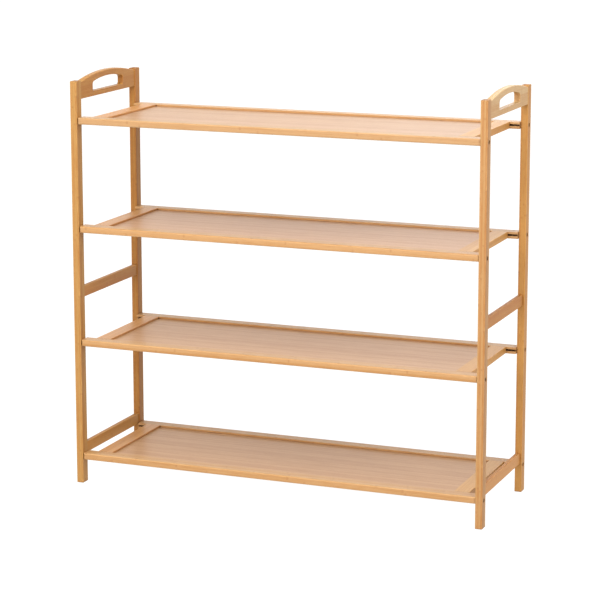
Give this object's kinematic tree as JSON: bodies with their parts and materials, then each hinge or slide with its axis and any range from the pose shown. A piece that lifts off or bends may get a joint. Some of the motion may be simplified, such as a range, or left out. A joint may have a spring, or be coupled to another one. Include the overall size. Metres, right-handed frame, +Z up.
{
  "type": "tiered shoe rack",
  "caption": "Bamboo shoe rack with stacked open shelves between two ladder-like side frames, each side with a carry handle board on top.",
  "frame": {"origin": "on the floor, midway between the four posts in X and Y", "axes": "+X to the right along the shelves, seen from the front; +Y to the back; +Z up"},
  "size_m": [0.84, 0.28, 0.8105],
  "materials": {
    "bamboo_frame": "lengthwise laminated bamboo, satin clear lacquer",
    "bamboo_shelf": "lengthwise laminated bamboo, satin clear lacquer",
    "bamboo_panel": "thin bamboo board with fine grain along X, satin clear lacquer",
    "dowel_wood": "plain turned wood",
    "screw_steel": "dark zinc plating"
  },
  "bodies": {
    "root": {"left_front_post": "bamboo_frame", "left_back_post": "bamboo_frame", "left_handle": "bamboo_frame", "left_mid_stretcher": "bamboo_frame", "left_bottom_stretcher": "bamboo_frame", "left_handle_dowels": "dowel_wood", "left_mid_dowels": "dowel_wood", "left_bottom_dowels": "dowel_wood", "right_front_post": "bamboo_frame", "right_back_post": "bamboo_frame", "right_handle": "bamboo_frame", "right_mid_stretcher": "bamboo_frame", "right_bottom_stretcher": "bamboo_frame", "right_handle_dowels": "dowel_wood", "right_mid_dowels": "dowel_wood", "right_bottom_dowels": "dowel_wood", "shelf_1_front_rail": "bamboo_shelf", "shelf_1_back_rail": "bamboo_shelf", "shelf_1_left_stile": "bamboo_shelf", "shelf_1_right_stile": "bamboo_shelf", "shelf_1_panel": "bamboo_panel", "shelf_1_screws": "screw_steel", "shelf_2_front_rail": "bamboo_shelf", "shelf_2_back_rail": "bamboo_shelf", "shelf_2_left_stile": "bamboo_shelf", "shelf_2_right_stile": "bamboo_shelf", "shelf_2_panel": "bamboo_panel", "shelf_2_screws": "screw_steel", "shelf_3_front_rail": "bamboo_shelf", "shelf_3_back_rail": "bamboo_shelf", "shelf_3_left_stile": "bamboo_shelf", "shelf_3_right_stile": "bamboo_shelf", "shelf_3_panel": "bamboo_panel", "shelf_3_screws": "screw_steel", "shelf_4_front_rail": "bamboo_shelf", "shelf_4_back_rail": "bamboo_shelf", "shelf_4_left_stile": "bamboo_shelf", "shelf_4_right_stile": "bamboo_shelf", "shelf_4_panel": "bamboo_panel", "shelf_4_screws": "screw_steel"}
  },
  "joints": []
}
